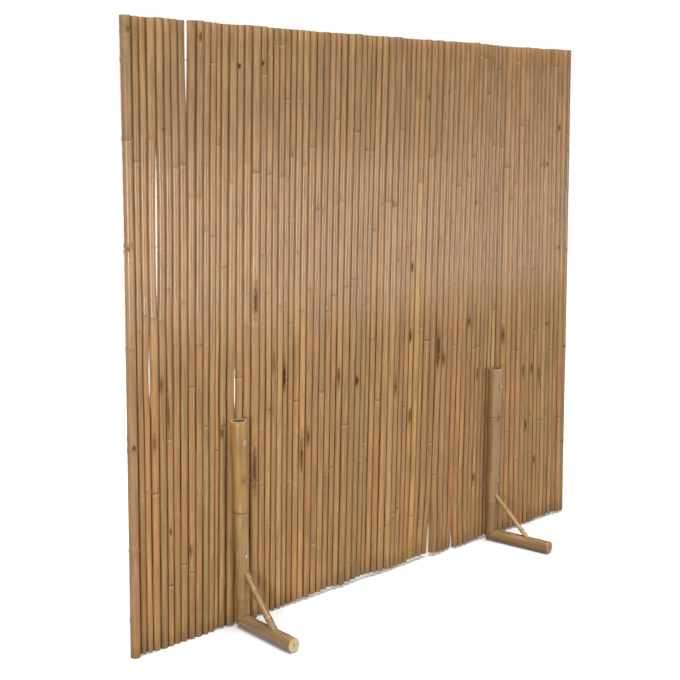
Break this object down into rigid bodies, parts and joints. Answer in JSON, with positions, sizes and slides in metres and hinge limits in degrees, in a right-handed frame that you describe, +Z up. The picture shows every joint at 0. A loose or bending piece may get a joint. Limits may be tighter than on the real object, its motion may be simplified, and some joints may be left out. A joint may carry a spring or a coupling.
{
  "type": "bamboo screen",
  "caption": "Free-standing straight screen of upright bamboo canes threaded side by side on hidden wires, held up by L-shaped bamboo stands bolted through near the ends.",
  "frame": {"origin": "on the floor, under the middle of the panel: the centre of the bottom of the bounding box", "axes": "+Z up along the canes; +X along the panel's width, to the right as seen from the side that the picture shows; +Y towards the back, through the panel's thickness"},
  "size_m": [1.9946, 0.567, 1.812],
  "materials": {
    "cane": "satin",
    "edge_pole": "satin",
    "left_stand": "satin",
    "right_stand": "satin",
    "brace": "satin",
    "wire": "satin",
    "fastener": "satin"
  },
  "bodies": {
    "root": {"back_left_brace": "brace", "back_left_foot": "left_stand", "back_left_post": "left_stand", "back_right_brace": "brace", "back_right_foot": "right_stand", "back_right_post": "right_stand", "bottom_threading_wire": "wire", "brace_nails": "fastener", "canes_02_to_04": "cane", "canes_05_to_07": "cane", "canes_08_to_10": "cane", "canes_11_to_13": "cane", "canes_14_to_16": "cane", "canes_17_to_19": "cane", "canes_20_to_22": "cane", "canes_23_to_25": "cane", "canes_26_to_28": "cane", "canes_29_to_31": "cane", "canes_32_to_34": "cane", "canes_35_to_37": "cane", "canes_38_to_40": "cane", "canes_41_to_43": "cane", "canes_44_to_46": "cane", "canes_47_to_49": "cane", "canes_50_to_52": "cane", "canes_53_to_55": "cane", "canes_56_to_58": "cane", "canes_59_to_61": "cane", "canes_62_to_64": "cane", "canes_65_to_67": "cane", "canes_68_to_70": "cane", "canes_71_to_73": "cane", "canes_74_to_76": "cane", "canes_77_to_78": "cane", "clamp_bolts": "fastener", "clamp_nuts": "fastener", "clamp_washers": "fastener", "edge_pole": "edge_pole", "front_left_brace": "brace", "front_left_foot": "left_stand", "front_left_post": "left_stand", "front_right_brace": "brace", "front_right_foot": "right_stand", "front_right_post": "right_stand", "lower_threading_wire": "wire", "mitre_screws": "fastener", "top_threading_wire": "wire", "upper_threading_wire": "wire"}
  },
  "joints": []
}
